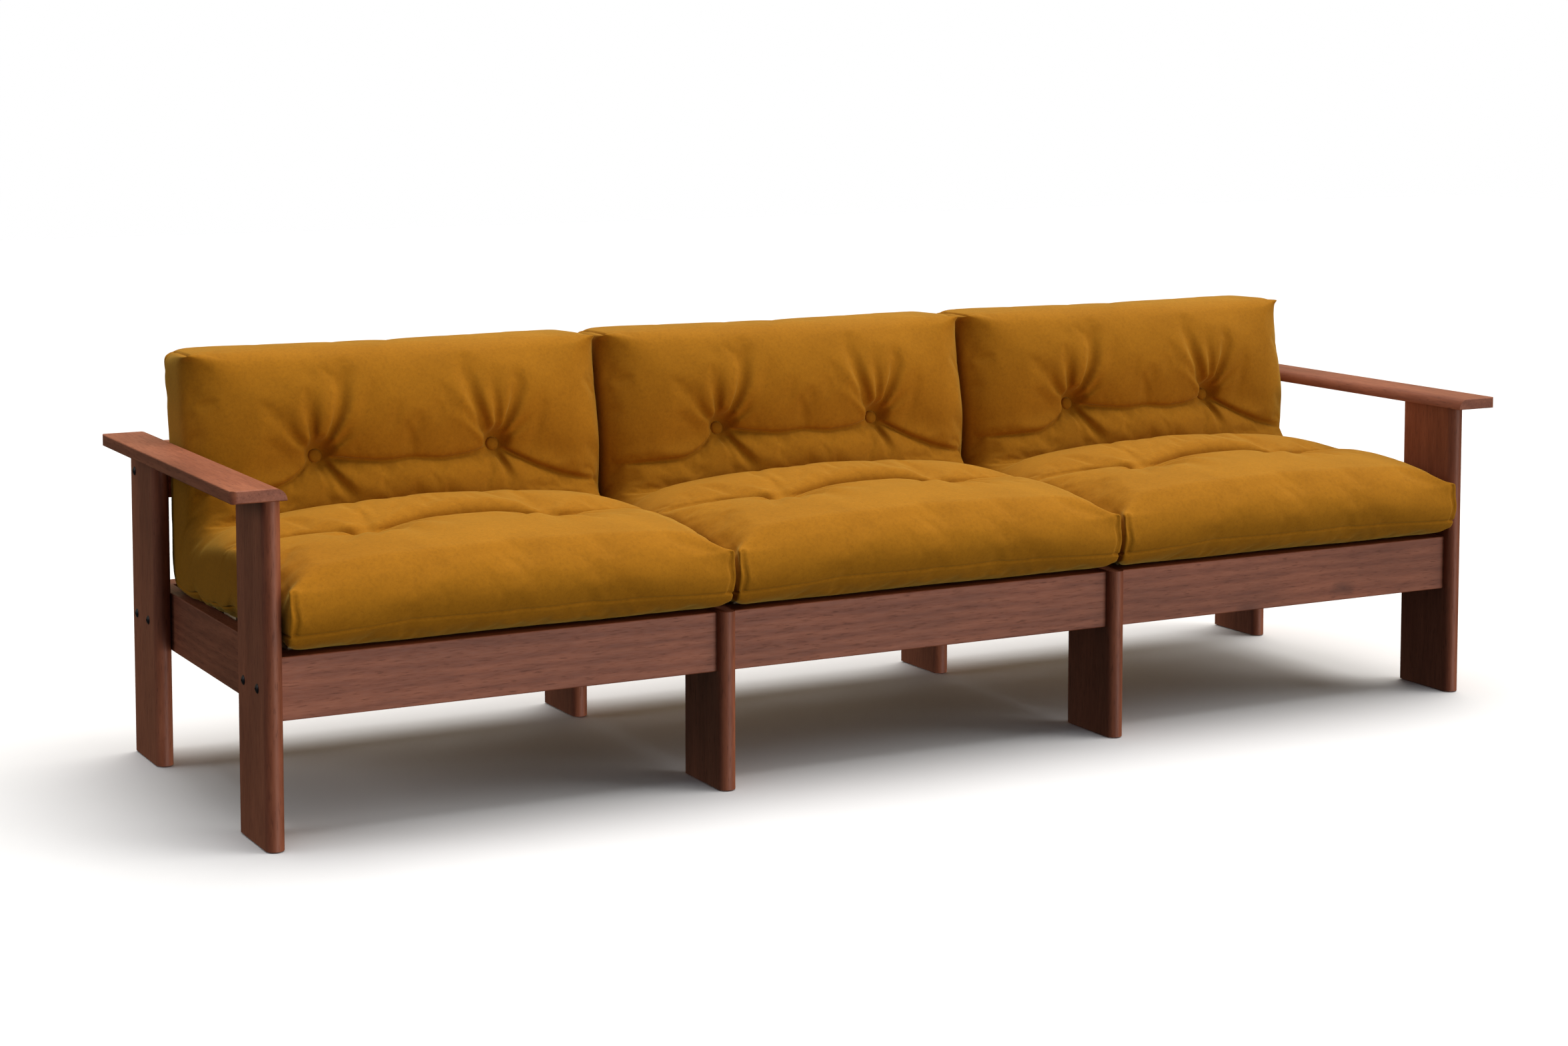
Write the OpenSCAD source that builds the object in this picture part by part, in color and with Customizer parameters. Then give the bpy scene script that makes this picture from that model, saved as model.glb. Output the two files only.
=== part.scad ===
// Three-seat sofa: a bolted frame of stained planks that carries three folded mattresses.
// Millimetres, +Z up. The sitter faces -Y, and left means -X.
// The origin is at floor level, in the middle of the sofa's length and depth.

/* [Frame] */
// Distance from one pair of legs to the next
bay_pitch = 780; // [760:5:800]
// Depth from the front of an armrest to the back of a rear leg
sofa_depth = 760; // [750:5:780]
// Height of the top of the seat rails above the floor
rail_top = 300; // [280:5:320]
// Height of a seat rail plank
rail_h = 100; // [90:5:110]
// Thickness of the front, rear and back rails
rail_t = 48; // [44:1:50]
// Thickness of the side rails
side_rail_t = 28; // [24:1:30]
// Distance of the front rail's face behind the front of the legs
rail_setback = 20; // [15:1:22]
// Height of the bolts in the ends of the back rails
back_bolt_z = 500; // [460:5:500]
// Height of a back rail plank
back_rail_h = 95; // [80:5:95]

/* [Legs] */
// Thickness of a leg plank, which is also the diameter of its round front edge
leg_t = 30; // [28:1:32]
// Width of a leg plank, front to back
leg_w = 140; // [135:1:150]
// Thickness of the felt pad under each leg
glide_t = 2; // [1:0.5:3]

/* [Armrests] */
// Height of the top of an armrest
arm_top = 568; // [565:1:580]
// Thickness of an armrest board
arm_t = 20; // [18:1:22]
// Width of an armrest board
arm_w = 88; // [80:1:95]
// Length of an armrest board
arm_l = 740; // [735:1:745]
// Overhang of an armrest past the outer face of its legs
arm_overhang = 56; // [50:1:58]

/* [Slats] */
// Width of every slat
slat_w = 65; // [55:1:70]
// Thickness of every slat
slat_t = 18; // [15:1:20]
// Number of seat slats in one bay
seat_slat_count = 7; // [5:1:7]
// Number of back slats in one bay
back_slat_count = 5; // [3:1:5]
// Height of the top end of the back slats
back_slat_top = 690; // [640:5:700]

/* [Mattresses] */
// Distance from the middle of one mattress to the middle of the next
mattress_pitch = 770; // [768:1:772]
// Width of a mattress
mattress_w = 764; // [750:1:764]
// Height of the top of a mattress's back above the floor
mattress_top = 730; // [700:5:740]
// Thickness of the cover's cloth and wadding
cover_t = 2; // [1:0.5:4]
// Distance of a tuft from the middle of its mattress
tuft_x = 163; // [140:1:190]
// Diameter of a covered button
button_d = 24; // [20:1:28]

/* [Fasteners] */
// Diameter of the frame bolts
bolt_d = 6; // [6]
// Diameter of a bolt's button head
bolt_head_d = 15.5; // [14:0.5:16]

/* [Hidden] */
$fn = 48;

// Frame lines
front_y = -sofa_depth / 2;
leg_front_y = front_y + 20;
rear_y = sofa_depth / 2;
rear_leg_y = rear_y - leg_w;
front_rail_y = leg_front_y + rail_setback;
rear_rail_y = rear_y - rail_t;
side_rail_y = front_rail_y + rail_t;
side_rail_l = rear_rail_y - side_rail_y;
bay_w = bay_pitch - leg_t;
rail_mid_z = rail_top - rail_h / 2;
back_rail_top = back_bolt_z + back_rail_h / 2;
arm_under = arm_top - arm_t;
arm_inner_x = 1.5 * bay_pitch - leg_t / 2 - 2;
edge_r = 2;
arm_corner_r = 10;
cut = 1;

// Slat lines
slat_top = rail_top + 3;
ledger_w = 25;
ledger_h = 25;
ledger_top = slat_top - slat_t;
slat_play = 2;
back_slat_y = rear_rail_y - slat_t;
back_slat_foot = rail_top - rail_h + 15;
seat_slat_pitch = (side_rail_l - slat_t - slat_w - 11) / (seat_slat_count - 1);
seat_slat_y = side_rail_y + 7 + slat_w / 2;
back_slat_pitch = (bay_w - 2 * side_rail_t - slat_w - 30) / (back_slat_count - 1);
seat_slat_l = bay_w - 2 * side_rail_t - 2 * slat_play;

// Fastener lines
bolt_hole_r = bolt_d / 2 + 0.3;
shank_r = bolt_d / 2 - 0.05;
thread_r = bolt_d / 2 + 0.05;
bolt_head_h = 3.4;
socket_depth = 2;
front_bolt_y = front_rail_y + rail_t / 2;
rear_bolt_y = rear_rail_y + rail_t / 2;
side_bolt_inset = 45;
front_side_bolt_y = side_rail_y + side_bolt_inset;
rear_side_bolt_y = rear_rail_y - side_bolt_inset;
nut_inset = 32;
nut_r = 5;
nut_l = 16;
rail_bolt_l = leg_t + nut_inset + 8;
insert_r = 4.5;
insert_l = 15;
side_bolt_l = leg_t + insert_l + 4;
tie_bolt_l = side_rail_t + leg_t + insert_l + 4;
tie_rod_l = leg_t + 2 * (nut_inset + 8);
dowel_r = 4;
dowel_l = 35;
dowel_in_arm = 12;
fit_gap = 0.1;
screw_r = 2;
screw_head_r = 4;
screw_head_h = 3;
screw_l = 35;
screw_sink = 3.5;

// Mattress section, in depth and height: front foot, front brow, fold, crest, back crown, heel
mattress_foot = slat_top + 0.3;
rest_gap = 0.5;
mattress_section = [
    [front_y + 12, mattress_foot],
    [front_y + 6, 447],
    [88, 466],
    [166, mattress_top],
    [back_slat_y - rest_gap, mattress_top],
    [back_slat_y - 32, mattress_foot]
];
section_radii = [22, 48, 12, 34, 46, 34];
arc_steps = 6;
core_gap = 0.5;
fold_low = [230, mattress_foot];
back_face_tilt = atan2(166 - 88, mattress_top - 466);
back_tuft = [140, 536];
seat_tuft = [-125, 433];
tuft_mouth_r = 46;
tuft_slope = 1.1;
rear_dimple = 14;
button_h = 8;
cord_r = 1.5;
cord_hole_r = 2;

bay_names = ["left", "mid", "right"];
leg_names = ["left", "mid_left", "mid_right", "right"];
function bay_x(i) = (i - 1) * bay_pitch;
function leg_x(i) = (i - 1.5) * bay_pitch;
function mattress_x(i) = (i - 1) * mattress_pitch;

// ---- Shapes used by several parts ----

// Rectangle about the origin with round corners
module rounded_rect(w, h, r) {
    square([w - 2 * r, h], center = true);
    square([w, h - 2 * r], center = true);
    for (x = [-1, 1], y = [-1, 1])
        translate([x * (w / 2 - r), y * (h / 2 - r)])
            circle(r = r);
}

// Plank along X, centred on the origin, with its long edges rounded
module plank_x(l, t, h, r = edge_r) {
    rotate([90, 0, 90])
        linear_extrude(l, center = true)
            rounded_rect(t, h, r);
}

// Plank along Y, centred on the origin, with its long edges rounded
module plank_y(l, t, h, r = edge_r) {
    rotate([90, 0, 0])
        linear_extrude(l, center = true)
            rounded_rect(t, h, r);
}

// Round rod or hole along +X from its start
module rod_x(r, l) {
    rotate([0, 90, 0])
        cylinder(r = r, h = l);
}

// Mirrors its children to the other end of the sofa as well
module both_ends() {
    children();
    mirror([1, 0, 0])
        children();
}

// Bolt along +X with a domed head on its -X end, the head's underside at the origin
module bolt_x(l) {
    dome_r = 12;
    difference() {
        union() {
            rod_x(shank_r, l);
            intersection() {
                translate([-bolt_head_h, 0, 0])
                    rod_x(bolt_head_d / 2, bolt_head_h);
                translate([dome_r - bolt_head_h, 0, 0])
                    sphere(r = dome_r);
            }
        }
        translate([-bolt_head_h - cut, 0, 0])
            rotate([0, 90, 0])
                cylinder(r = 2.3, h = socket_depth + cut, $fn = 6);
    }
}

// Pan-head screw that points down, the head's underside at the origin
module screw() {
    cylinder(r = screw_head_r, h = screw_head_h);
    translate([0, 0, -screw_l + screw_sink])
        cylinder(r = screw_r, h = screw_l - screw_sink);
}

// Hole for the same screw, with a sunk pocket for its head
module screw_hole() {
    cylinder(r = screw_head_r + fit_gap, h = screw_sink + cut);
    translate([0, 0, -screw_l])
        cylinder(r = screw_r + fit_gap, h = screw_l + cut);
}

// ---- Legs ----

// Outline of a leg seen from above: a round front edge and a plank behind it
module leg_outline(w) {
    nose_r = leg_t / 2;
    translate([0, nose_r])
        circle(r = nose_r);
    translate([-nose_r, nose_r])
        square([leg_t, w - nose_r - edge_r]);
    translate([-nose_r + edge_r, nose_r])
        square([leg_t - 2 * edge_r, w - nose_r]);
    for (x = [-1, 1])
        translate([x * (nose_r - edge_r), w - edge_r])
            circle(r = edge_r);
}

// Bolt holes across a leg at each [depth, height]
module leg_holes(places) {
    for (p = places)
        translate([-leg_t / 2 - cut, p[0], p[1]])
            rod_x(bolt_hole_r, leg_t + 2 * cut);
}

// Dowel holes in the top of an end leg, at the leg's own depth
module dowel_places(y) {
    for (dy = [40, 100])
        translate([0, y + dy, arm_under])
            children();
}

module front_leg(i) {
    is_end = i == 0 || i == 3;
    top = is_end ? arm_under : rail_top + 2;
    color("saddlebrown")
        translate([leg_x(i), 0, 0])
            difference() {
                translate([0, leg_front_y, glide_t])
                    linear_extrude(top - glide_t)
                        leg_outline(leg_w);
                leg_holes([[front_bolt_y, rail_mid_z], [front_side_bolt_y, rail_mid_z]]);
                if (is_end)
                    dowel_places(leg_front_y)
                        translate([0, 0, -dowel_l + dowel_in_arm - cut])
                            cylinder(r = dowel_r + fit_gap, h = dowel_l);
            }
}

// An end leg keeps its full width up to the armrest. A middle leg is notched above the
// seat rails, so that only a tongue behind the mattresses carries the back rails.
module rear_leg(i) {
    is_end = i == 0 || i == 3;
    top = is_end ? arm_under : back_rail_top;
    color("saddlebrown")
        translate([leg_x(i), 0, 0])
            difference() {
                translate([0, rear_leg_y, glide_t])
                    linear_extrude(top - glide_t)
                        leg_outline(leg_w);
                leg_holes([
                    [rear_side_bolt_y, rail_mid_z],
                    [rear_bolt_y, rail_mid_z],
                    [rear_bolt_y, back_bolt_z]
                ]);
                if (is_end)
                    dowel_places(rear_leg_y)
                        translate([0, 0, -dowel_l + dowel_in_arm - cut])
                            cylinder(r = dowel_r + fit_gap, h = dowel_l);
                else
                    translate([-leg_t / 2 - cut, rear_leg_y - cut, rail_top])
                        cube([leg_t + 2 * cut, leg_w - rail_t + cut, top]);
            }
}

module leg_glides() {
    inset = 4;
    color("dimgray")
        for (i = [0:3], y = [leg_front_y, rear_leg_y])
            translate([leg_x(i) - leg_t / 2 + inset, y + leg_t / 2, 0])
                cube([leg_t - 2 * inset, leg_w - leg_t / 2 - inset, glide_t]);
}

// ---- Armrests ----

// Right armrest: round corners outside, a quarter-round along its inner top edge
module armrest_right() {
    outer_x = arm_inner_x + arm_w;
    color("saddlebrown")
        difference() {
            intersection() {
                translate([0, front_y + arm_l, arm_under])
                    rotate([90, 0, 0])
                        linear_extrude(arm_l)
                            armrest_section(outer_x);
                translate([0, 0, arm_under - cut])
                    linear_extrude(arm_t + 2 * cut)
                        armrest_plan(outer_x);
                translate([arm_inner_x - cut, front_y + arm_l / 2, arm_under + arm_t / 2])
                    rotate([90, 0, 90])
                        linear_extrude(arm_w + 2 * cut)
                            rounded_rect(arm_l, arm_t, edge_r);
            }
            for (y = [leg_front_y, rear_leg_y])
                translate([leg_x(3), 0, 0])
                    dowel_places(y)
                        translate([0, 0, -cut])
                            cylinder(r = dowel_r + fit_gap, h = dowel_in_arm + cut + fit_gap);
        }
}

// Section of an armrest, in width and height
module armrest_section(outer_x) {
    intersection() {
        translate([arm_inner_x + arm_t, 0])
            circle(r = arm_t, $fn = 96);
        translate([arm_inner_x, 0])
            square([arm_t, arm_t]);
    }
    translate([arm_inner_x + arm_t, 0])
        square([arm_w - arm_t - edge_r, arm_t]);
    translate([outer_x - arm_t, arm_t / 2])
        rounded_rect(2 * arm_t, arm_t, edge_r);
}

// Outline of an armrest seen from above
module armrest_plan(outer_x) {
    translate([arm_inner_x, front_y])
        square([arm_w - arm_corner_r, arm_l]);
    translate([arm_inner_x, front_y + arm_corner_r])
        square([arm_w, arm_l - 2 * arm_corner_r]);
    for (y = [front_y + arm_corner_r, front_y + arm_l - arm_corner_r])
        translate([outer_x - arm_corner_r, y])
            circle(r = arm_corner_r);
}

module armrest_left() {
    mirror([1, 0, 0])
        armrest_right();
}

module armrest_dowels() {
    color("burlywood")
        both_ends()
            for (y = [leg_front_y, rear_leg_y])
                translate([leg_x(3), 0, 0])
                    dowel_places(y)
                        translate([0, 0, dowel_in_arm - dowel_l])
                            cylinder(r = dowel_r, h = dowel_l);
}

// ---- Rails ----

// Long rail of one bay, drilled in both ends for a bolt and its barrel nut.
// nut_side is the face that the barrel nuts go in from, -1 for front and 1 for rear.
module long_rail(i, y, z, h, nut_side) {
    translate([bay_x(i), y, z])
        difference() {
            plank_x(bay_w, rail_t, h);
            for (side = [-1, 1]) {
                translate([side * bay_w / 2 - (nut_inset + 10), 0, 0])
                    rod_x(bolt_hole_r, 2 * (nut_inset + 10));
                translate([side * (bay_w / 2 - nut_inset), nut_side * (rail_t / 2 + cut), 0])
                    rotate([nut_side * 90, 0, 0])
                        cylinder(r = nut_r + fit_gap, h = (rail_t + nut_l) / 2 + cut);
            }
        }
}

module front_rail(i) {
    color("sienna")
        long_rail(i, front_bolt_y, rail_mid_z, rail_h, 1);
}

module rear_rail(i) {
    color("sienna")
        difference() {
            long_rail(i, rear_bolt_y, rail_mid_z, rail_h, -1);
            back_screw_places(i)
                screw_hole();
        }
}

module back_rail(i) {
    color("sienna")
        difference() {
            long_rail(i, rear_bolt_y, back_bolt_z, back_rail_h, 1);
            back_screw_places(i)
                screw_hole();
        }
}

// Side rail of a bay, flat against its legs. side is -1 at the bay's left and 1 at its right.
// A through rail takes the tie bolts' heads, and any other holds thread inserts.
module side_rail(i, side, through) {
    hole_r = through ? bolt_hole_r : insert_r + fit_gap;
    hole_l = through ? side_rail_t + 2 * cut : insert_l + 6;
    leg_face = side * bay_w / 2;
    color("sienna")
        translate([bay_x(i), 0, 0])
            difference() {
                translate([leg_face - side * side_rail_t / 2, side_rail_y + side_rail_l / 2, rail_mid_z])
                    plank_y(side_rail_l, side_rail_t, rail_h);
                for (y = [front_side_bolt_y, rear_side_bolt_y])
                    translate([leg_face + side * cut, y, rail_mid_z])
                        rotate([0, -side * 90, 0])
                            cylinder(r = hole_r, h = hole_l + cut);
            }
}

// ---- Slats ----

// Places of the screws that hold one bay's seat slats on the ledgers
module seat_screw_places(i) {
    for (k = [0:seat_slat_count - 1], side = [-1, 1])
        translate([
            bay_x(i) + side * (bay_w / 2 - side_rail_t - ledger_w / 2),
            seat_slat_y + k * seat_slat_pitch,
            slat_top - screw_sink
        ])
            children();
}

// Places of the screws that hold one bay's back slats on the rear and back rails
module back_screw_places(i) {
    for (k = [0:back_slat_count - 1], z = [rail_mid_z, back_bolt_z])
        translate([back_slat_x(i, k), back_slat_y + screw_sink, z])
            rotate([90, 0, 0])
                children();
}

function back_slat_x(i, k) = bay_x(i) + (k - (back_slat_count - 1) / 2) * back_slat_pitch;

module slat_ledgers(i) {
    color("peru")
        difference() {
            for (side = [-1, 1])
                translate([
                    bay_x(i) + side * (bay_w / 2 - side_rail_t - ledger_w / 2),
                    side_rail_y + (side_rail_l - slat_t) / 2,
                    ledger_top - ledger_h / 2
                ])
                    plank_y(side_rail_l - slat_t - 2 * slat_play, ledger_w, ledger_h);
            seat_screw_places(i)
                screw_hole();
        }
}

module seat_slats(i) {
    color("peru")
        difference() {
            for (k = [0:seat_slat_count - 1])
                translate([bay_x(i), seat_slat_y + k * seat_slat_pitch, slat_top - slat_t / 2])
                    plank_x(seat_slat_l, slat_w, slat_t);
            seat_screw_places(i)
                screw_hole();
        }
}

module back_slats(i) {
    slat_l = back_slat_top - back_slat_foot;
    color("peru")
        difference() {
            for (k = [0:back_slat_count - 1])
                translate([back_slat_x(i, k), back_slat_y + slat_t / 2, back_slat_foot])
                    linear_extrude(slat_l)
                        rounded_rect(slat_w, slat_t, edge_r);
            back_screw_places(i)
                screw_hole();
        }
}

module slat_screws() {
    color("silver")
        for (i = [0:2]) {
            seat_screw_places(i)
                screw();
            back_screw_places(i)
                screw();
        }
}

// ---- Bolts ----

module rail_bolts() {
    color("black")
        both_ends()
            for (p = [[front_bolt_y, rail_mid_z], [rear_bolt_y, rail_mid_z], [rear_bolt_y, back_bolt_z]])
                translate([leg_x(0) - leg_t / 2, p[0], p[1]])
                    bolt_x(rail_bolt_l);
}

module side_rail_bolts() {
    color("black")
        both_ends()
            for (y = [front_side_bolt_y, rear_side_bolt_y])
                translate([leg_x(0) - leg_t / 2, y, rail_mid_z])
                    bolt_x(side_bolt_l);
}

// Bolts through an end bay's inner side rail and a middle leg, into the middle bay's rail
module tie_bolts() {
    color("black")
        both_ends()
            for (y = [front_side_bolt_y, rear_side_bolt_y])
                translate([leg_x(1) - leg_t / 2 - side_rail_t, y, rail_mid_z])
                    bolt_x(tie_bolt_l);
}

// Threaded rods through the middle legs, which pull the rails of two bays together
module tie_rods() {
    color("silver")
        both_ends()
            for (p = [[front_bolt_y, rail_mid_z], [rear_bolt_y, rail_mid_z], [rear_bolt_y, back_bolt_z]])
                translate([leg_x(1) - tie_rod_l / 2, p[0], p[1]])
                    rod_x(shank_r, tie_rod_l);
}

module barrel_nuts() {
    color("silver")
        for (i = [0:2], side = [-1, 1])
            for (p = [[front_bolt_y, rail_mid_z], [rear_bolt_y, rail_mid_z], [rear_bolt_y, back_bolt_z]])
                translate([bay_x(i) + side * (bay_w / 2 - nut_inset), p[0], p[1]])
                    difference() {
                        rotate([90, 0, 0])
                            cylinder(r = nut_r, h = nut_l, center = true);
                        translate([-nut_r - cut, 0, 0])
                            rod_x(thread_r, 2 * (nut_r + cut));
                    }
}

module thread_inserts() {
    color("goldenrod")
        both_ends()
            for (face_x = [leg_x(0) + leg_t / 2, leg_x(1) + leg_t / 2], y = [front_side_bolt_y, rear_side_bolt_y])
                translate([face_x, y, rail_mid_z])
                    difference() {
                        rod_x(insert_r, insert_l);
                        translate([-cut, 0, 0])
                            rod_x(thread_r, insert_l + 2 * cut);
                    }
}

// ---- Mattresses ----

// Corner b of the outline a-b-c: unit vectors along both edges, half the angle, and the turn
function unit(v) = v / norm(v);
function half_angle(u, v) = acos(u * v) / 2;
function turn(a, b, c) = sign((b[0] - a[0]) * (c[1] - b[1]) - (b[1] - a[1]) * (c[0] - b[0]));

// Corner b moved inwards by d along its bisector; the outline runs clockwise
function inset_corner(a, b, c, d) =
    let (u = unit(a - b), v = unit(c - b))
    b - turn(a, b, c) * unit(u + v) * d / sin(half_angle(u, v));

// Points of an arc of radius r that rounds corner b
function corner_arc(a, b, c, r) =
    let (
        u = unit(a - b),
        v = unit(c - b),
        half = half_angle(u, v),
        centre = b + unit(u + v) * r / sin(half),
        start = b + u * r / tan(half) - centre,
        sweep = turn(a, b, c) * (180 - 2 * half)
    )
    [for (k = [0:arc_steps])
        let (t = sweep * k / arc_steps)
        centre + [start[0] * cos(t) - start[1] * sin(t), start[0] * sin(t) + start[1] * cos(t)]];

// Mattress section moved inwards by d, with its corners rounded
module mattress_profile(d) {
    n = len(mattress_section);
    at = function(list, k) list[(k + n) % n];
    corners = [for (k = [0:n - 1])
        inset_corner(at(mattress_section, k - 1), mattress_section[k], at(mattress_section, k + 1), d)];
    polygon([for (k = [0:n - 1], p = corner_arc(at(corners, k - 1), corners[k], at(corners, k + 1),
        section_radii[k] - (k == 2 ? -d : d))) p]);
}

// Dimple that a button sits in, open along +Z from its floor at the origin
module dimple(depth, d) {
    reach = depth + 20;
    translate([0, 0, -d])
        cylinder(r1 = button_d / 2 + 2 + d, r2 = button_d / 2 + 2 + d + tuft_slope * reach, h = reach);
}

// Puts its children at both front or seat buttons and at the buttons behind them.
// $depth is the depth of the dimple there.
module tuft_places() {
    for (side = [-1, 1]) {
        translate([side * tuft_x, back_tuft[0], back_tuft[1]])
            rotate([90 - back_face_tilt, 0, 0]) {
                $depth = 29;
                children();
            }
        translate([side * tuft_x, seat_tuft[0], seat_tuft[1]]) {
            $depth = 24;
            children();
        }
        translate([side * tuft_x, rear_tuft()[0], rear_tuft()[1]])
            rotate([-90 - back_face_tilt, 0, 0]) {
                $depth = rear_dimple;
                children();
            }
        translate([side * tuft_x, seat_tuft[0], mattress_foot + rear_dimple])
            rotate([180, 0, 0]) {
                $depth = rear_dimple;
                children();
            }
    }
}

// Length of the cord through the back, and the place of its rear button
back_cord_l = 140;
function rear_tuft() = back_tuft + back_cord_l * [cos(back_face_tilt), -sin(back_face_tilt)];

// Cords from each button to the one behind it
module cord_lines(r) {
    for (side = [-1, 1]) {
        translate([side * tuft_x, back_tuft[0], back_tuft[1]])
            rotate([-90 - back_face_tilt, 0, 0])
                cylinder(r = r, h = back_cord_l);
        translate([side * tuft_x, seat_tuft[0], mattress_foot + rear_dimple])
            cylinder(r = r, h = seat_tuft[1] - mattress_foot - rear_dimple);
    }
}

// One whole mattress in the middle of the sofa, moved inwards by d all round
module mattress_body(d) {
    difference() {
        rotate([90, 0, 90])
            linear_extrude(mattress_w - 2 * d, center = true)
                mattress_profile(d);
        tuft_places()
            dimple($depth, d);
        cord_lines(cord_hole_r);
    }
}

module mattress_cover(i) {
    color("darkgoldenrod")
        translate([mattress_x(i), 0, 0])
            difference() {
                mattress_body(0);
                mattress_body(cover_t);
            }
}

// Side view of the seat's share of the filling, bounded by the fold
module seat_side() {
    fold = mattress_section[2];
    polygon([
        [front_y - 50, mattress_foot - 50],
        [front_y - 50, mattress_top],
        [fold[0], mattress_top],
        fold,
        fold_low,
        [fold_low[0], mattress_foot - 50]
    ]);
}

module seat_core(i) {
    color("beige")
        translate([mattress_x(i), 0, 0])
            intersection() {
                mattress_body(cover_t + core_gap);
                rotate([90, 0, 90])
                    linear_extrude(mattress_w, center = true)
                        seat_side();
            }
}

module back_core(i) {
    color("beige")
        translate([mattress_x(i), 0, 0])
            difference() {
                mattress_body(cover_t + core_gap);
                rotate([90, 0, 90])
                    linear_extrude(mattress_w, center = true)
                        seat_side();
            }
}

// Domed buttons in the dimples
module tuft_buttons(i) {
    dome_r = 13;
    color("goldenrod")
        translate([mattress_x(i), 0, 0])
            tuft_places()
                intersection() {
                    cylinder(r = button_d / 2, h = button_h);
                    translate([0, 0, button_h - dome_r])
                        sphere(r = dome_r);
                }
}

module tuft_cords(i) {
    color("ivory")
        translate([mattress_x(i), 0, 0])
            cord_lines(cord_r);
}

// ---- Assembly ----

for (i = [0:3]) {
    front_leg(i);
    rear_leg(i);
}
armrest_left();
armrest_right();
for (i = [0:2]) {
    bay = bay_names[i];
    front_rail(i);
    rear_rail(i);
    back_rail(i);
    slat_ledgers(i);
    seat_slats(i);
    back_slats(i);
    mattress_cover(i);
    seat_core(i);
    back_core(i);
    tuft_buttons(i);
    tuft_cords(i);
}
side_rail(0, -1, false);  // side_rail_left_outer
side_rail(0, 1, true);  // side_rail_left_inner
side_rail(1, -1, false);  // side_rail_mid_left
side_rail(1, 1, false);  // side_rail_mid_right
side_rail(2, -1, true);  // side_rail_right_inner
side_rail(2, 1, false);  // side_rail_right_outer
rail_bolts();
side_rail_bolts();
tie_bolts();
tie_rods();
barrel_nuts();
thread_inserts();
armrest_dowels();
slat_screws();
leg_glides();
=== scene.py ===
import math

import bpy
import numpy as np
from mathutils import Euler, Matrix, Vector


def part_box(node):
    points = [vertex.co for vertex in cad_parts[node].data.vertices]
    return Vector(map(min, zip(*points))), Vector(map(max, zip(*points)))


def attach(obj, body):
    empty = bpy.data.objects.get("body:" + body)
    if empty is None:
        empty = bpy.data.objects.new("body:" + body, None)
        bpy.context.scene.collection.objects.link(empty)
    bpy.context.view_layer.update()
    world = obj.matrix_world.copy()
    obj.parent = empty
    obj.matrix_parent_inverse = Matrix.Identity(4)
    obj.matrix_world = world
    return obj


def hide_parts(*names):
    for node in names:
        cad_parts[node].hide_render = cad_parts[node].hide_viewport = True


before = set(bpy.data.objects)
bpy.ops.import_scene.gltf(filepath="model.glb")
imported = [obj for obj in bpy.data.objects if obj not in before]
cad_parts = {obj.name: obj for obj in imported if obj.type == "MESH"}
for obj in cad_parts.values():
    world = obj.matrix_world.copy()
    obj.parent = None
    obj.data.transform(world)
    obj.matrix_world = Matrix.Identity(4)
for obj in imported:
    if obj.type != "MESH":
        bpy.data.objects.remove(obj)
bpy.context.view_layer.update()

# Three-seat sofa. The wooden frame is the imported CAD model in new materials. Each mattress is one
# cloth form that replaces its CAD solids. Blender works in metres, and the mattress code in millimetres.

BAYS = ("left", "mid", "right")
MM = 0.001

# ---- Material nodes ----


def new_material(name):
    """A new material, its node tree and its shader."""
    material = bpy.data.materials.new(name)
    material.use_nodes = True
    return material, material.node_tree, material.node_tree.nodes["Principled BSDF"]


def add(tree, kind, values=None, **settings):
    """A node with its settings, and values for its sockets by name."""
    made = tree.nodes.new(kind)
    for key, value in settings.items():
        setattr(made, key, value)
    for key, value in (values or {}).items():
        made.inputs[key].default_value = value
    return made


def mapped(tree, scale=(1, 1, 1), shift=(0, 0, 0), turn=(0, 0, 0)):
    """The object's own coordinates in metres, turned, then stretched and shifted."""
    coords = add(tree, "ShaderNodeTexCoord")
    turned = add(tree, "ShaderNodeMapping", {"Rotation": turn})
    placed = add(tree, "ShaderNodeMapping", {"Scale": scale, "Location": shift})
    tree.links.new(coords.outputs["Object"], turned.inputs["Vector"])
    tree.links.new(turned.outputs["Vector"], placed.inputs["Vector"])
    return placed.outputs["Vector"]


def noise(tree, vector, scale, detail=3, roughness=0.5, distortion=0):
    values = {"Scale": scale, "Detail": detail, "Roughness": roughness, "Distortion": distortion}
    made = add(tree, "ShaderNodeTexNoise", values)
    tree.links.new(vector, made.inputs["Vector"])
    return made.outputs["Fac"]


def grey(value):
    return (value, value, value)


def ramp(tree, factor, stops):
    """Colours by factor. A stop is (place, colour)."""
    made = add(tree, "ShaderNodeValToRGB")
    elements = made.color_ramp.elements
    while len(elements) < len(stops):
        elements.new(0.5)
    for element, (place, colour) in zip(elements, stops):
        element.position = place
        element.color = (*colour, 1)
    tree.links.new(factor, made.inputs["Fac"])
    return made.outputs["Color"]


def as_colour(tree, value):
    return ramp(tree, value, [(0, grey(0)), (1, grey(1))])


def blend(tree, mode, amount, first, second):
    """Blends two colours. Each argument after the mode is a value or a socket."""
    made = add(tree, "ShaderNodeMix", data_type="RGBA", blend_type=mode)
    for link, value in ((made.inputs[0], amount), (made.inputs[6], first), (made.inputs[7], second)):
        if isinstance(value, bpy.types.NodeSocket):
            tree.links.new(value, link)
        else:
            link.default_value = value
    return made.outputs[2]


def bump(tree, shader, height, strength, distance):
    made = add(tree, "ShaderNodeBump", {"Strength": strength, "Distance": distance})
    tree.links.new(height, made.inputs["Height"])
    tree.links.new(made.outputs["Normal"], shader.inputs["Normal"])


# ---- Materials ----

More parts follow.
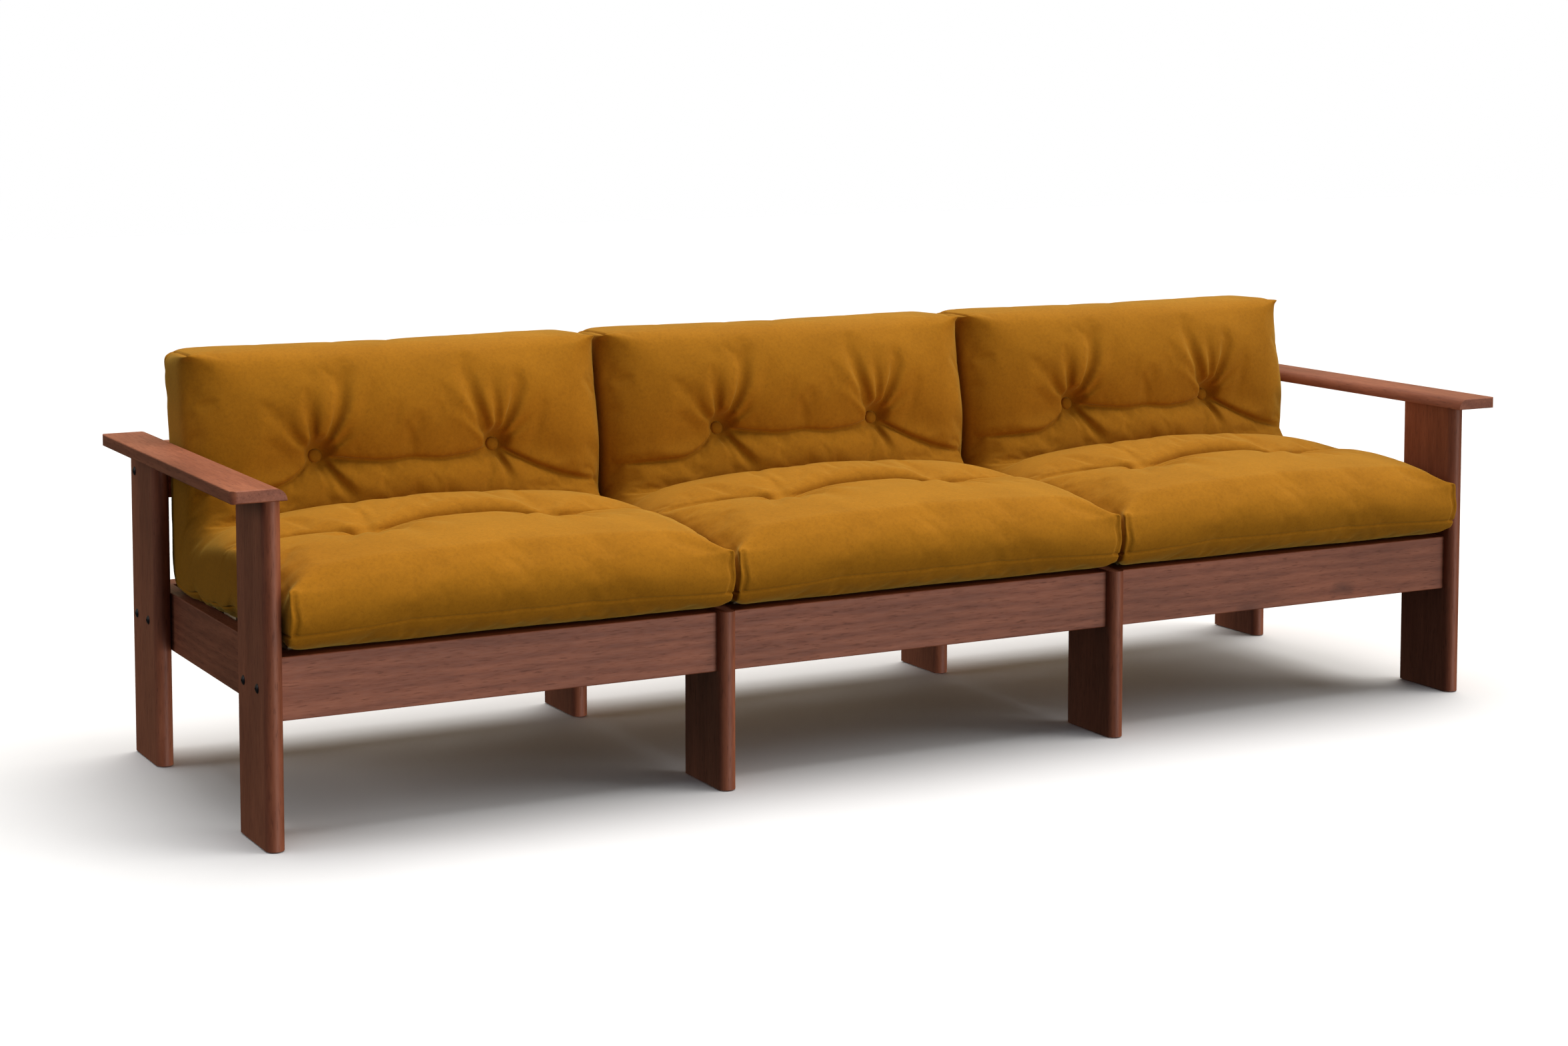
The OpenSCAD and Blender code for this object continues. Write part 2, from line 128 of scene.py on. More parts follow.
# Shades of wood: dark pore, dark band, middle, light
STAINED = ((0.08, 0.022, 0.011), (0.20, 0.056, 0.026), (0.28, 0.084, 0.040), (0.36, 0.118, 0.058))
PALE = ((0.25, 0.15, 0.08), (0.50, 0.34, 0.19), (0.62, 0.45, 0.27), (0.72, 0.55, 0.36))
# Gloss of wood: lowest roughness, highest roughness, coat
LACQUERED = (0.46, 0.6, 0.05)
PLANED = (0.55, 0.7, 0.0)
# Turns that bring a piece's long axis to the grain's direction, X
ALONG = {"x": (0, 0, 0), "y": (0, 0, math.pi / 2), "z": (0, math.pi / 2, 0)}


def grain_colour(tree, at, shades):
    """Flat-sawn figure, fine flecks and soft clouds. at gives the coordinates at a scale."""
    _, dark, middle, light = shades
    rings = add(
        tree,
        "ShaderNodeTexWave",
        {"Scale": 1.5, "Distortion": 9.0, "Detail": 3, "Detail Scale": 0.8},
        bands_direction="Z",
    )
    tree.links.new(at((1.3, 9, 9)), rings.inputs["Vector"])
    figure = ramp(tree, rings.outputs["Fac"], [(0.1, dark), (0.5, middle), (0.95, light)])
    flecks = noise(tree, at((20, 190, 190)), 1, 4, 0.6)
    flecks = ramp(tree, flecks, [(0.25, dark), (0.5, middle), (0.75, light)])
    clouds = noise(tree, at((2.2, 7, 7)), 1, 3, 0.55)
    clouds = ramp(tree, clouds, [(0.3, grey(0.74)), (0.7, grey(1.14))])
    return blend(tree, "MULTIPLY", 1.0, blend(tree, "MIX", 0.62, figure, flecks), clouds)


def knots(tree, place):
    """Mask of a few small knots, white in the knots."""
    wobble = add(tree, "ShaderNodeTexNoise", {"Scale": 6, "Detail": 1})
    tree.links.new(place, wobble.inputs["Vector"])
    cells = add(tree, "ShaderNodeTexVoronoi", {"Scale": 1.0, "Randomness": 1.0})
    tree.links.new(blend(tree, "ADD", 0.12, place, wobble.outputs["Color"]), cells.inputs["Vector"])
    spots = ramp(tree, cells.outputs["Distance"], [(0.02, grey(1)), (0.16, grey(0))])
    parts = add(tree, "ShaderNodeSeparateColor")
    tree.links.new(cells.outputs["Color"], parts.inputs["Color"])
    chosen = ramp(tree, parts.outputs["Red"], [(0.72, grey(0)), (0.78, grey(1))])
    return blend(tree, "MULTIPLY", 1.0, spots, chosen)


def wood(name, along, seed, shades, gloss):
    """Plank with its own stretch of grain, pores and a few small knots."""
    material, tree, shader = new_material(name)
    pore = (*shades[0], 1)
    shift = (1.7 * seed, 0.61 * seed, 0.83 * seed)

    def at(scale):
        return mapped(tree, scale, shift, ALONG[along])

    pores = noise(tree, at((45, 420, 420)), 1, 2, 0.5)
    pore_mask = ramp(tree, pores, [(0.58, grey(0)), (0.74, grey(1))])
    pore_mask = blend(tree, "MULTIPLY", 1.0, pore_mask, (*grey(0.55), 1))
    colour = blend(tree, "MIX", pore_mask, grain_colour(tree, at, shades), pore)
    colour = blend(tree, "MIX", knots(tree, at((4.5, 9, 9))), colour, pore)
    tree.links.new(colour, shader.inputs["Base Color"])

    smoothest, roughest, coat = gloss
    rough = ramp(tree, pores, [(0.35, grey(smoothest)), (0.75, grey(roughest))])
    tree.links.new(rough, shader.inputs["Roughness"])
    shader.inputs["Specular IOR Level"].default_value = 0.22
    shader.inputs["Coat Weight"].default_value = coat
    shader.inputs["Coat Roughness"].default_value = 0.32
    bump(tree, shader, pores, 0.22, 0.0004)
    return material


def suede(name):
    """Mustard suede: a short nap that is brushed lighter and darker in soft patches."""
    material, tree, shader = new_material(name)
    here = mapped(tree)
    patches = noise(tree, here, 9, 4, 0.6, 0.4)
    colour = ramp(tree, patches, [(0.3, (0.325, 0.124, 0.005)), (0.7, (0.380, 0.149, 0.007))])
    nap = noise(tree, here, 170, 6, 0.8, 0.6)
    mottle = ramp(tree, nap, [(0.3, grey(0.78)), (0.5, grey(1.0)), (0.7, grey(1.14))])
    tree.links.new(blend(tree, "MULTIPLY", 0.9, colour, mottle), shader.inputs["Base Color"])
    shader.inputs["Roughness"].default_value = 0.88
    shader.inputs["Specular IOR Level"].default_value = 0.10
    shader.inputs["Sheen Weight"].default_value = 0.34
    shader.inputs["Sheen Roughness"].default_value = 0.35
    shader.inputs["Sheen Tint"].default_value = (1.0, 0.84, 0.20, 1)
    fibres = noise(tree, here, 420, 5, 0.7)
    height = blend(tree, "ADD", 0.5, as_colour(tree, nap), as_colour(tree, fibres))
    bump(tree, shader, height, 0.35, 0.0008)
    return material


def metal(name, colour, smoothest, roughest, metallic):
    """Turned or plated metal with faint tool marks."""
    material, tree, shader = new_material(name)
    marks = noise(tree, mapped(tree), 700, 4, 0.6)
    darker = tuple(0.7 * c for c in colour)
    rough = ramp(tree, marks, [(0.3, grey(smoothest)), (0.7, grey(roughest))])
    tree.links.new(ramp(tree, marks, [(0.3, darker), (0.7, colour)]), shader.inputs["Base Color"])
    tree.links.new(rough, shader.inputs["Roughness"])
    shader.inputs["Metallic"].default_value = metallic
    bump(tree, shader, marks, 0.1, 0.0002)
    return material


def felt(name):
    material, tree, shader = new_material(name)
    fibres = noise(tree, mapped(tree), 500, 6, 0.75)
    colour = ramp(tree, fibres, [(0.3, (0.03, 0.026, 0.022)), (0.7, (0.09, 0.08, 0.07))])
    tree.links.new(colour, shader.inputs["Base Color"])
    shader.inputs["Roughness"].default_value = 0.95
    bump(tree, shader, fibres, 0.6, 0.001)
    return material


# ---- Frame ----

# Starts of the stained planks' names, and the way that their grain runs
PLANKS = {
    "leg_front": "z",
    "leg_rear": "z",
    "armrest_": "y",
    "side_rail_": "y",
    "front_rail": "x",
    "rear_rail": "x",
    "back_rail": "x",
}


def small_finishes():
    """Materials by node of the slats, ledgers, dowels, metal parts and pads."""
    pale_x = wood("pale_along_x", "x", 41, PALE, PLANED)
    pale_y = wood("pale_along_y", "y", 42, PALE, PLANED)
    pale_z = wood("pale_along_z", "z", 43, PALE, PLANED)
    black = metal("black_oxide", (0.018, 0.018, 0.02), 0.32, 0.5, 0.6)
    zinc = metal("zinc_plate", (0.55, 0.56, 0.6), 0.25, 0.4, 1.0)
    finishes = {
        "armrest_dowels": pale_z,
        "rail_bolts": black,
        "side_rail_bolts": black,
        "tie_bolts": black,
        "tie_rods": zinc,
        "barrel_nuts": zinc,
        "slat_screws": zinc,
        "thread_inserts": metal("turned_brass", (0.72, 0.5, 0.2), 0.25, 0.4, 1.0),
        "leg_glides": felt("pressed_felt"),
    }
    for bay in BAYS:
        finishes["slat_ledgers_" + bay] = pale_y
        finishes["seat_slats_" + bay] = pale_x
        finishes["back_slats_" + bay] = pale_z
    return finishes


def dress_frame():
    """Gives every CAD node of the frame its material. Each plank has its own stretch of grain."""
    finishes = small_finishes()
    planks = [n for n in sorted(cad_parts) if n.startswith(tuple(PLANKS)) and n not in finishes]
    for seed, node in enumerate(planks, 1):
        along = next(way for start, way in PLANKS.items() if node.startswith(start))
        finishes[node] = wood("stained_" + node, along, seed, STAINED, LACQUERED)
    for node, material in finishes.items():
        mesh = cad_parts[node].data
        mesh.materials.clear()
        mesh.materials.append(material)


# ---- Mattress shape. All lengths here are millimetres, x from the mattress's middle ----

HALF_W = 377.0
# Foot of a button: place across, then depth and height on the back and on the seat
TUFT_X = 163.0
BACK_TUFT = (140.0, 536.0)
SEAT_TUFT = (-125.0, 433.0)
# Lean of the back, and the direction out of it
BACK_TILT = math.radians(16.5)
BACK_OUT = np.array([0, -math.cos(BACK_TILT), math.sin(BACK_TILT)])
# Length of the cords through the back
CORD_L = 140.0
# Height of the mattress's lowest points, above the slats
FOOT_Z = 303.3
# Length of the way over the upper surface, from the brow to the crest
WAY_L = 960.0
# How far the front bulges, its upper corners stand out, its sides flare and its darts wave
FRONT_BULGE = 11.0
FRONT_EAR = 6.0
FRONT_FLARE = 5.0
DART_WAVE = 2.0
# Share of a tuft's pull that reaches far over the skin, and how far it reaches. The rest is close by
FAR_PULL = 0.36
BACK_REACH = 62.0
SEAT_REACH = 44.0
CLOSE_REACH = 21.0
# Radius of a button, and of the flat spot under it
BUTTON_R = 12.0
TUFT_R = 13.0
# Depth and radius of the dimples where the anchor buttons pull, below the seat and behind the back
REAR_DIMPLE = 14.0
REAR_DIMPLE_R = 22.0
# Depths of the stitched seam and the corner darts
SEAM_DEPTH = 3.2
DART_DEPTH = 4.5
# Limits of the settled skin: where the squeeze starts, and the place that no point passes
SIDE_LIMIT = (377, 383)
TOP_LIMIT = (700, 736)
REAR_LIMIT = (290, 312)

# Upper surface from the front brow over the seat, the fold and the back to the crest:
# share of the way, then depth and height at the sides, then depth and height in the middle
UPPER = [
    (0.00, -373, 396, -382, 398),
    (0.04, -354, 404, -373, 420),
    (0.10, -300, 414, -318, 433),
    (0.18, -230, 424, -240, 444),
    (0.26, -155, 431, -165, 448),
    (0.33, -85, 433, -98, 453),
    (0.40, -15, 430, -34, 466),
    (0.45, 35, 427, 20, 460),
    (0.49, 70, 425, 56, 449),
    (0.52, 102, 430, 80, 446),
    (0.55, 124, 443, 79, 468),
    (0.58, 133, 464, 82, 500),
    (0.63, 136, 502, 96, 528),
    (0.68, 138, 545, 93, 562),
    (0.74, 147, 590, 92, 604),
    (0.82, 158, 640, 108, 652),
    (0.90, 166, 686, 142, 694),
    (0.96, 168, 714, 170, 717),
    (1.00, 174, 726, 190, 729),
]
# Under and rear surface over the same way: share, depth, height
LOWER = [
    (0.00, -362, 304),
    (0.52, 225, 304),
    (0.56, 248, 309),
    (0.60, 262, 326),
    (0.66, 268, 380),
    (0.80, 284, 540),
    (0.92, 304, 668),
    (1.00, 308, 722),
]
# The crease across the back, through both buttons: place across, height, depth of the crease
BACK_CREASE = [
    (-384, 482, 2), (-300, 487, 7), (-240, 491, 10), (-205, 505, 13), (-181, 529, 14), (-163, 538, 14),
    (-100, 530, 9), (-50, 525, 8), (0, 529, 7), (50, 523, 8), (105, 526, 9),
    (163, 537, 14), (235, 499, 13), (290, 478, 11), (335, 467, 8), (384, 454, 3),
]
# The arched crease across the seat: place across, depth in the sofa, depth of the crease
SEAT_CREASE = [
    (-384, -74, 2), (-290, -84, 6), (-215, -104, 10), (-163, -125, 12), (-110, -104, 16),
    (-50, -86, 18), (10, -80, 20), (70, -84, 22), (125, -103, 20), (163, -125, 12),
    (205, -104, 9), (270, -90, 6), (384, -84, 2),
]
# Furrows that run from the back's buttons: start and end (across, height), bow, depth, width
BACK_FOLDS = [
    ((-166, 549), (-176, 668), 8, 6, 8),
    ((-158, 550), (-122, 716), -14, 8, 9),
    ((-178, 550), (-232, 612), 5, 6, 7),
    ((-150, 548), (-98, 606), -5, 5, 7),
    ((-152, 528), (-70, 436), -9, 7, 9),
    ((-162, 522), (-150, 460), 5, 5, 7),
    ((153, 550), (96, 716), 12, 8, 10),
    ((162, 552), (140, 680), -4, 5, 7),
    ((167, 551), (208, 692), -8, 7, 9),
    ((178, 546), (238, 590), 4, 5, 7),
    ((147, 545), (62, 628), -6, 6, 8),
    ((168, 522), (174, 448), 6, 6, 8),
]
# Furrows that run from the seat's tufts: start and end (across, depth), bow, depth, width
SEAT_FOLDS = [
    ((-156, -138), (-112, -300), 8, 5, 15),
    ((-148, -130), (-30, -232), 10, 5, 13),
    ((156, -138), (116, -296), -8, 5, 15),
    ((148, -132), (40, -240), -8, 5, 13),
    ((-172, -122), (-262, -210), -6, 4, 13),
    ((174, -118), (262, -190), 6, 4, 13),
    ((177, -126), (268, -92), 4, 6, 9),
    ((-178, -118), (-270, -84), -4, 5, 9),
]
CELLS_ACROSS = 118
CELLS_ALONG = 134
CELLS_UP = 16
# Distances of the first rows from the underside, closer together beside the stitched seam
SEAM_ROWS = (0, 8, 15, 22, 25, 28, 35)
SEAM_ROW = 4
# Rows along the way that follow the seat's crease, the fold and the back's crease
SEAT_ROW = 44
FOLD_ROW = 70
BACK_ROW = 85
FOLD_SHARE = 0.525


def smooth(x):
    x = np.clip(x, 0, 1)
    return x * x * (3 - 2 * x)


def hump(distance, width):
    """1 at no distance, and close to 0 at twice the width."""
    return np.exp(-(distance / width) ** 2)


def roll(distance, width, height):
    """Rises from 0 to the height at the width, on the positive side only, and falls away beyond it."""
    along = np.maximum(distance, 0) / width
    return height * along * np.exp(1 - along)


def unit(v):
    return v / np.maximum(np.linalg.norm(v, axis=-1, keepdims=True), 1e-9)


def along_table(table, share, columns):
    """Columns of a table at shares of the way, through a smooth curve."""
    rows = np.array(table, float)
    at = rows[:, 0]
    found = []
    for column in columns:
        value = rows[:, column]
        slope = np.gradient(value, at)
        k = np.clip(np.searchsorted(at, share) - 1, 0, len(at) - 2)
        step = at[k + 1] - at[k]
        t = (share - at[k]) / step
        found.append(
            (1 + 2 * t) * (1 - t) ** 2 * value[k]
            + t * (1 - t) ** 2 * step * slope[k]
            + t * t * (3 - 2 * t) * value[k + 1]
            - t * t * (1 - t) * step * slope[k + 1]
        )
    return found


def upper_surface(x, share):
    """Depth and height of the upper surface, crowned between the sides."""
    side_y, side_z, mid_y, mid_z = along_table(UPPER, share, (1, 2, 3, 4))
    crown = 1 - np.minimum(np.abs(x) / HALF_W, 1) ** 2.6
    return side_y + (mid_y - side_y) * crown, side_z + (mid_z - side_z) * crown


def curve_of(table, x, column):
    """A column of a crease's table at x, with its corners rounded off."""
    rows = np.array(table, float)
    window = 12
    shifts = np.linspace(-1, 1, 9) * window
    return np.mean([np.interp(x + shift, rows[:, 0], rows[:, column]) for shift in shifts], axis=0)


def crease_shares(x):
    """Shares of the way at which the seat's crease and the back's crease cross each x."""
    seat, back = np.linspace(0, FOLD_SHARE, 200), np.linspace(FOLD_SHARE + 0.03, 1, 200)
    seat_share, back_share = np.empty(len(x)), np.empty(len(x))
    for n, here in enumerate(x):
        y, _ = upper_surface(here, seat)
        seat_share[n] = np.interp(curve_of(SEAT_CREASE, here, 1), y, seat)
        _, z = upper_surface(here, back)
        back_share[n] = np.interp(curve_of(BACK_CREASE, here, 1), z, back)
    return seat_share, back_share


def box_lattice():
    """Grid cells on the skin of a box: (across, along, up) of every point, and the faces."""
    index, faces = {}, []

    def face(*corners):
        faces.append([index.setdefault(corner, len(index)) for corner in corners])

    for i in range(CELLS_ACROSS):
        for j in range(CELLS_ALONG):
            top = CELLS_UP
            face((i, j, top), (i + 1, j, top), (i + 1, j + 1, top), (i, j + 1, top))
            face((i, j, 0), (i, j + 1, 0), (i + 1, j + 1, 0), (i + 1, j, 0))
        for k in range(CELLS_UP):
            end = CELLS_ALONG
            face((i, 0, k), (i + 1, 0, k), (i + 1, 0, k + 1), (i, 0, k + 1))
            face((i, end, k), (i, end, k + 1), (i + 1, end, k + 1), (i + 1, end, k))
    for j in range(CELLS_ALONG):
        for k in range(CELLS_UP):
            end = CELLS_ACROSS
            face((0, j, k), (0, j, k + 1), (0, j + 1, k + 1), (0, j + 1, k))
            face((end, j, k), (end, j + 1, k), (end, j + 1, k + 1), (end, j, k + 1))
    return np.array(list(index)), faces


def share_of_way(i, j):
    """Shares of the way from the brow to the crest, with whole rows on the creases and the fold."""
    columns = np.linspace(-HALF_W, HALF_W, CELLS_ACROSS + 1)
    seat_share, back_share = crease_shares(columns)
    rows = [0, SEAT_ROW, FOLD_ROW, BACK_ROW, CELLS_ALONG]
    share = np.empty(len(i))
    for n in range(CELLS_ACROSS + 1):
        here = i == n
        share[here] = np.interp(j[here], rows, [0, seat_share[n], FOLD_SHARE, back_share[n], 1])
    return share


def share_of_height(k, thick):
    """Shares of the thickness, with the first rows at the seam's distances."""
    last = len(SEAM_ROWS) - 1
    low = np.array(SEAM_ROWS)[np.minimum(k, last)] / thick
    first_high = SEAM_ROWS[last] / thick
    return np.where(k <= last, low, first_high + (k - last) / (CELLS_UP - last) * (1 - first_high))


def round_edge(points, a, b, normal_a, normal_b, radius):
    """Rounds the edge between two faces. a and b are distances from them, and the normals point inwards."""
    near = (a < radius) & (b < radius)
    pull_a, pull_b = radius - a, radius - b
    scale = np.minimum(radius / np.maximum(np.hypot(pull_a, pull_b), 1e-6), 1)
    move_a = np.where(near, pull_a * (1 - scale), 0)
    move_b = np.where(near, pull_b * (1 - scale), 0)
    return points + move_a[:, None] * normal_a + move_b[:, None] * normal_b


def shape_front(points, side, front, top, up, in_way):
    """Bulges the front, pinches its upper corners into ears and waves its corner darts."""
    points[:, 1] -= FRONT_BULGE * hump(front, 45) * np.sin(math.pi * up) ** 0.8
    ear = FRONT_EAR * np.exp(-(side / 14) ** 2 - (front / 16) ** 2 - (top / 12) ** 2)
    points += ear[:, None] * (np.array([0, -0.8, 0.8]) - 0.6 * in_way)
    points -= (FRONT_FLARE * hump(front, 50) * (side < 1))[:, None] * in_way
    points[:, 0] += DART_WAVE * np.sin(14 * up) * np.exp(-((side - 6) / 10) ** 2 - (front / 10) ** 2)
    return points


def start_shape(grid):
    """Folded block with rounded edges, and the share of the way of each point."""
    i, j, k = grid.T
    x = (i / CELLS_ACROSS * 2 - 1) * HALF_W
    share = share_of_way(i, j)
    upper_y, upper_z = upper_surface(x, share)
    lower_y, lower_z = along_table(LOWER, share, (1, 2))
    thick = np.hypot(upper_y - lower_y, upper_z - lower_z)
    up = share_of_height(k, thick)
    y = lower_y + (upper_y - lower_y) * up
    z = lower_z + (upper_z - lower_z) * up
    points = np.stack([x, y, z], -1)

    up_way = unit(np.stack([0 * x, upper_y - lower_y, upper_z - lower_z], -1))
    along_way = np.stack([0 * x, up_way[:, 2], -up_way[:, 1]], -1)
    in_way = np.stack([-np.sign(x), 0 * x, 0 * x], -1)
    side = HALF_W - np.abs(x)
    top, under = (1 - up) * thick, up * thick
    front, crest = share * WAY_L, (1 - share) * WAY_L
    ends = smooth(front / 60) * smooth(crest / 60)
    # Distances from two faces, the directions in from them, and the radius of their edge
    for edge in (
        (side, top, in_way, -up_way, 4 + 26 * ends),
        (side, under, in_way, up_way, 14.0),
        (front, under, along_way, up_way, 12.0),
        (crest, under, -along_way, up_way, 22.0),
        (crest, top, -along_way, -up_way, 16.0),
        (side, crest, in_way, -along_way, 40.0),
    ):
        points = round_edge(points, *edge)
    return shape_front(points, side, front, top, up, in_way), share


def furrow(flat, start, end, bow, depth, width, broader=1.0):
    """A furrow from start to end that bows sideways, deepest near its start, with a lip on each side."""
    a, b = np.array(start, float), np.array(end, float)
    way = b - a
    across = np.array([-way[1], way[0]]) / np.linalg.norm(way)
    t = ((flat - a) @ way) / (way @ way)
    inside = np.clip(t, 0, 1)
    off = (flat - a) @ across - 4 * bow * inside * (1 - inside)
    beyond = (t - inside) * np.linalg.norm(way)
    fade = 1 - smooth(inside)
    spread = broader * width * (0.5 + 0.9 * inside)
    away = np.hypot(off, beyond) / spread
    return depth * fade * (np.exp(-away ** 2) - 0.55 * np.exp(-(away - 1.9) ** 2 * 1.4))


def broad_press(flat_back, flat_seat, on_back, on_seat):
    """How far the creases and furrows press each point in, and the roll behind the seat's crease out."""
    broader = 1.6
    x, z = flat_back.T
    y = flat_seat[:, 1]
    from_back = z - curve_of(BACK_CREASE, x, 1)
    from_seat = y - curve_of(SEAT_CREASE, x, 1)
    press = on_back * curve_of(BACK_CREASE, x, 2) * np.exp(-np.abs(from_back) / 20)
    valley_and_roll = 0.8 * np.exp(-np.abs(from_seat) / 16) - roll(from_seat, 15, 0.6)
    press += on_seat * curve_of(SEAT_CREASE, x, 2) * valley_and_roll
    for fold in BACK_FOLDS:
        press += on_back * furrow(flat_back, *fold, broader)
    for fold in SEAT_FOLDS:
        press += on_seat * furrow(flat_seat, *fold, broader)
    return press


def dimple_below(points, x, y, z, under, share):
    """Dimples under the seat and behind the back, where the anchor buttons pull."""
    rear_z = BACK_TUFT[1] - CORD_L * math.sin(BACK_TILT)
    for side in (-1, 1):
        away = np.hypot(x - side * TUFT_X, y - SEAT_TUFT[0])
        points[:, 2] += under * (share < 0.5) * REAR_DIMPLE * hump(away, REAR_DIMPLE_R)
        away = np.hypot(x - side * TUFT_X, z - rear_z)
        points[:, 1] -= under * (share > 0.6) * REAR_DIMPLE * hump(away, REAR_DIMPLE_R)


def sculpt(points, grid, share):
    """Presses the tufts, creases and furrows in. Returns the points, and which of them stay fixed."""
    i, j, k = grid.T
    x, y, z = points.T
    on_top = k == CELLS_UP
    on_back = on_top & (j > FOLD_ROW)
    on_seat = on_top & (j <= FOLD_ROW)
    flat_back = np.stack([x, z], -1)
    flat_seat = np.stack([x, y], -1)
    press = broad_press(flat_back, flat_seat, on_back, on_seat)
    past_fold = share > 0.55
    outwards = np.where(past_fold[:, None], BACK_OUT, [0, 0, 1.0])
    points = points - press[:, None] * outwards

    fixed = np.zeros(len(x), bool)
    for side in (-1, 1):
        # Each floor is the place along the axis that the tuft's middle is pulled to
        for region, flat, centre, axis, floor, reach in (
            (on_back, flat_back, BACK_TUFT[1], 1, BACK_TUFT[0] - 1.5, BACK_REACH),
            (on_seat, flat_seat, SEAT_TUFT[0], 2, SEAT_TUFT[1] + 7, SEAT_REACH),
        ):
            away = np.hypot(flat[:, 0] - side * TUFT_X, flat[:, 1] - centre)
            pull = FAR_PULL * hump(away, reach) + (1 - FAR_PULL) * hump(away, CLOSE_REACH)
            points[:, axis] += region * pull * (floor - points[:, axis])
            fixed |= region & (away < TUFT_R)
    dimple_below(points, x, y, z, k == 0, share)
    border = 4
    inside = (i > border) & (i < CELLS_ACROSS - border) & (j > border) & (j < CELLS_ALONG - border)
    fixed |= (k == 0) & inside
    lines = on_top & ((j == SEAT_ROW) | (j == BACK_ROW) | (j == FOLD_ROW))
    fixed |= lines & (np.abs(x) < 340)
    return points, fixed


# ---- Mattress cloth ----


def settle(points, faces, fixed):
    """Lets the cloth fill out and buckle round its fixed tufts and creases. Returns the new points."""
    mesh = bpy.data.meshes.new("settling")
    mesh.from_pydata([tuple(p * MM) for p in points], [], faces)
    body = bpy.data.objects.new("settling", mesh)
    scene = bpy.context.scene
    scene.collection.objects.link(body)
    group = body.vertex_groups.new(name="fixed")
    group.add([int(n) for n in np.flatnonzero(fixed)], 1.0, "REPLACE")
    cloth = body.modifiers.new("cloth", "CLOTH")
    settings = cloth.settings
    settings.quality = 5
    settings.mass = 0.3
    settings.tension_stiffness = 15
    settings.compression_stiffness = 15
    settings.shear_stiffness = 5
    settings.bending_stiffness = 0.5
    settings.use_pressure = True
    settings.uniform_pressure_force = 1.6
    # A negative shrinking lets the cloth grow, so that it has some slack to buckle with
    settings.shrink_min = -0.015
    settings.vertex_group_mass = "fixed"
    settings.effector_weights.gravity = 0
    frames = 22
    cloth.point_cache.frame_start = 1
    cloth.point_cache.frame_end = frames
    for step in range(1, frames + 1):
        scene.frame_set(step)
    settled = bpy.data.meshes.new_from_object(body.evaluated_get(bpy.context.evaluated_depsgraph_get()))
    found = np.empty(len(settled.vertices) * 3)
    settled.vertices.foreach_get("co", found)
    bpy.data.objects.remove(body)
    scene.frame_set(1)
    return found.reshape(-1, 3) / MM


def iron(points, start, grid):
    """Evens out the buckles across the front, which is nearly smooth on the real one."""
    i, j, k = grid.T
    move = points - start
    last_row = 24
    fading_rows = 12
    most_even = 0.65
    reach = 9
    window = np.hanning(2 * reach + 3)[1:-1]
    window /= window.sum()
    rows = [(0, up) for up in range(CELLS_UP + 1)] + [(row, CELLS_UP) for row in range(1, last_row)]
    for row, up in rows:
        line = np.flatnonzero((j == row) & (k == up))
        line = line[np.argsort(i[line])]
        padded = np.pad(move[line], ((reach, reach), (0, 0)), mode="edge")
        even = np.stack([np.convolve(padded[:, axis], window, "valid") for axis in range(3)], -1)
        amount = most_even * smooth((last_row - row) / fading_rows)
        move[line] += amount * (even - move[line])
    return start + move


def squeeze(values, start, limit):
    """Values beyond start are pressed together so that none passes the limit."""
    room = limit - start
    beyond = np.maximum(values - start, 0)
    return np.minimum(values, start) + room * (1 - np.exp(-beyond / room))


def trim(points, start):
    """Keeps the settled skin near its start, and inside the space between its neighbours."""
    move = points - start
    length = np.linalg.norm(move, axis=1, keepdims=True)
    longest = 20.0
    points = start + move * np.minimum(1, longest / np.maximum(length, 1e-6))
    points[:, 0] = np.sign(points[:, 0]) * squeeze(np.abs(points[:, 0]), *SIDE_LIMIT)
    points[:, 2] = squeeze(points[:, 2], *TOP_LIMIT)
    points[:, 2] = np.maximum(points[:, 2], FOOT_Z)
    points[:, 1] = squeeze(points[:, 1], *REAR_LIMIT)
    return points


def keep_sharp(mesh, lines):
    """Marks the edges along each line, so that smoothing keeps them. A line is (its points, their rows)."""
    ends = np.empty(len(mesh.edges) * 2, int)
    mesh.edges.foreach_get("vertices", ends)
    a, b = ends.reshape(-1, 2).T
    held = np.zeros(len(mesh.edges), np.float32)
    for marked, row in lines:
        held[marked[a] & marked[b] & (row[a] == row[b])] = 1.0
    mesh.attributes.new("crease_edge", "FLOAT", "EDGE").data.foreach_set("value", held)


def refine(mesh, marks):
    """The mesh with each face smoothed into four, and the marks of its points."""
    for name, values in marks.items():
        made = mesh.attributes.new(name, "FLOAT", "POINT")
        made.data.foreach_set("value", np.asarray(values, np.float32))
    body = bpy.data.objects.new("rough_mattress", mesh)
    bpy.context.scene.collection.objects.link(body)
    finer = body.modifiers.new("finer", "SUBSURF")
    finer.levels = 1
    fine = bpy.data.meshes.new_from_object(body.evaluated_get(bpy.context.evaluated_depsgraph_get()))
    bpy.data.objects.remove(body)
    fine.name = "mattress"
    found = {}
    for name in marks:
        values = np.empty(len(fine.vertices), np.float32)
        fine.attributes[name].data.foreach_get("value", values)
        found[name] = values.astype(float)
        fine.attributes.remove(fine.attributes[name])
    return fine, found


